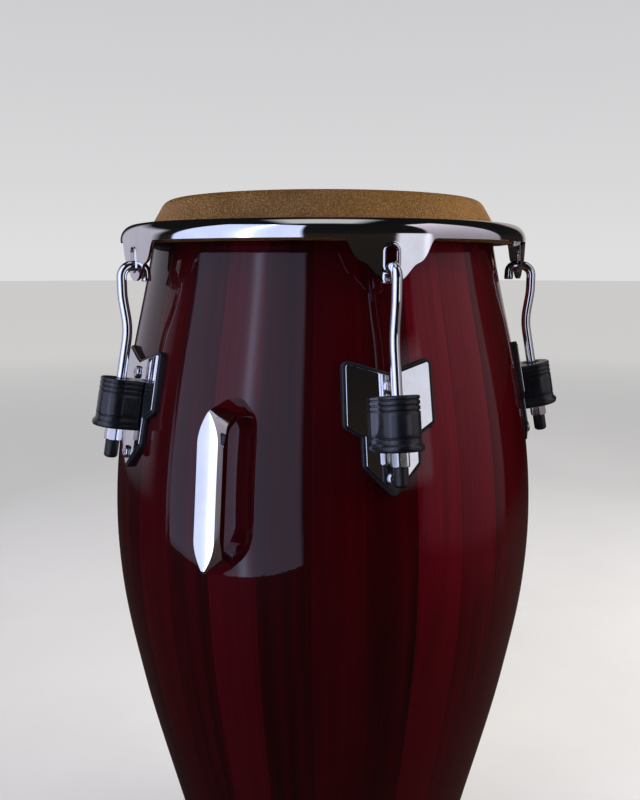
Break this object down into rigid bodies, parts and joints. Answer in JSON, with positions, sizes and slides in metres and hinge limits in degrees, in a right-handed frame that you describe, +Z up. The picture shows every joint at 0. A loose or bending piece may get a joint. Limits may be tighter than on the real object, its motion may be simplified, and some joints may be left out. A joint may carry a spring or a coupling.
{
  "type": "conga drum",
  "caption": "Tall barrel-shaped hand drum: lacquered stave shell, natural skin head, rounded chrome rim drawn down by hook rods on side plates, and a bow handle.",
  "frame": {"origin": "centre of the round foot, on the floor", "axes": "+Z up along the shell's axis; the bow handle faces -Y; the YZ plane is the mirror plane"},
  "size_m": [0.4216, 0.4572, 0.711],
  "materials": {
    "lacquered_wood": "high-gloss wine-red lacquer",
    "inner_wood": "raw",
    "rubber": "satin black",
    "skin": "natural animal skin",
    "chrome": "polished chrome plate",
    "steel": "zinc-plated steel",
    "black_plastic": "satin black"
  },
  "bodies": {
    "shell": {"shell_staves": "lacquered_wood", "top_ring": "inner_wood", "bottom_ring": "inner_wood", "base_foot": "rubber", "head_crown": "skin", "handle_bow": "chrome", "handle_screws": "steel", "handle_washers": "steel", "lug_washers": "steel", "plate_screws": "steel", "plate_washers": "steel", "plate_nuts": "steel", "side_plate_1": "chrome", "plate_gasket_1": "rubber", "lug_bracket_1": "steel", "lug_collar_1": "black_plastic", "side_plate_2": "chrome", "plate_gasket_2": "rubber", "lug_bracket_2": "steel", "lug_collar_2": "black_plastic", "side_plate_3": "chrome", "plate_gasket_3": "rubber", "lug_bracket_3": "steel", "lug_collar_3": "black_plastic", "side_plate_4": "chrome", "plate_gasket_4": "rubber", "lug_bracket_4": "steel", "lug_collar_4": "black_plastic", "side_plate_5": "chrome", "plate_gasket_5": "rubber", "lug_bracket_5": "steel", "lug_collar_5": "black_plastic"},
    "rim": {"rim": "chrome", "flesh_hoop": "steel", "head_side": "skin"},
    "hook_1": {"hook_rod_1": "chrome", "rod_cap_1": "rubber"},
    "nut_1": {"tuning_nut_1": "chrome"},
    "hook_2": {"hook_rod_2": "chrome", "rod_cap_2": "rubber"},
    "nut_2": {"tuning_nut_2": "chrome"},
    "hook_3": {"hook_rod_3": "chrome", "rod_cap_3": "rubber"},
    "nut_3": {"tuning_nut_3": "chrome"},
    "hook_4": {"hook_rod_4": "chrome", "rod_cap_4": "rubber"},
    "nut_4": {"tuning_nut_4": "chrome"},
    "hook_5": {"hook_rod_5": "chrome", "rod_cap_5": "rubber"},
    "nut_5": {"tuning_nut_5": "chrome"}
  },
  "joints": [
    {"name": "tuning_draw", "type": "slide", "parent": "shell", "child": "rim", "axis": [0, 0, -1], "range_m": [0, 0.006], "deforming": ["head_side"]},
    {"name": "hook_draw_1", "type": "slide", "parent": "shell", "child": "hook_1", "axis": [0.1111, -0.153, -0.982], "range_m": [0, 0.0062]},
    {"name": "nut_turn_1", "type": "hinge", "parent": "shell", "child": "nut_1", "pos_m": [0.12003, -0.16521, 0.52138], "axis": [-0.1111, 0.153, 0.982], "range_deg": [0, 1730]},
    {"name": "hook_draw_2", "type": "slide", "parent": "shell", "child": "hook_2", "axis": [0.1798, 0.0584, -0.982], "range_m": [0, 0.0062]},
    {"name": "nut_turn_2", "type": "hinge", "parent": "shell", "child": "nut_2", "pos_m": [0.19421, 0.0631, 0.52138], "axis": [-0.1798, -0.0584, 0.982], "range_deg": [0, 1730]},
    {"name": "hook_draw_3", "type": "slide", "parent": "shell", "child": "hook_3", "axis": [0, 0.1891, -0.982], "range_m": [0, 0.0062]},
    {"name": "nut_turn_3", "type": "hinge", "parent": "shell", "child": "nut_3", "pos_m": [0, 0.20421, 0.52138], "axis": [0, -0.1891, 0.982], "range_deg": [0, 1730]},
    {"name": "hook_draw_4", "type": "slide", "parent": "shell", "child": "hook_4", "axis": [-0.1798, 0.0584, -0.982], "range_m": [0, 0.0062]},
    {"name": "nut_turn_4", "type": "hinge", "parent": "shell", "child": "nut_4", "pos_m": [-0.19421, 0.0631, 0.52138], "axis": [0.1798, -0.0584, 0.982], "range_deg": [0, 1730]},
    {"name": "hook_draw_5", "type": "slide", "parent": "shell", "child": "hook_5", "axis": [-0.1111, -0.153, -0.982], "range_m": [0, 0.0062]},
    {"name": "nut_turn_5", "type": "hinge", "parent": "shell", "child": "nut_5", "pos_m": [-0.12003, -0.16521, 0.52138], "axis": [0.1111, 0.153, 0.982], "range_deg": [0, 1730]}
  ],
  "couplings": [
    {"joint": "hook_draw_1", "follows": "tuning_draw", "ratio": 1.0184},
    {"joint": "nut_turn_1", "follows": "tuning_draw", "rad_per_m": 5026.5},
    {"joint": "hook_draw_2", "follows": "tuning_draw", "ratio": 1.0184},
    {"joint": "nut_turn_2", "follows": "tuning_draw", "rad_per_m": 5026.5},
    {"joint": "hook_draw_3", "follows": "tuning_draw", "ratio": 1.0184},
    {"joint": "nut_turn_3", "follows": "tuning_draw", "rad_per_m": 5026.5},
    {"joint": "hook_draw_4", "follows": "tuning_draw", "ratio": 1.0184},
    {"joint": "nut_turn_4", "follows": "tuning_draw", "rad_per_m": 5026.5},
    {"joint": "hook_draw_5", "follows": "tuning_draw", "ratio": 1.0184},
    {"joint": "nut_turn_5", "follows": "tuning_draw", "rad_per_m": 5026.5}
  ]
}
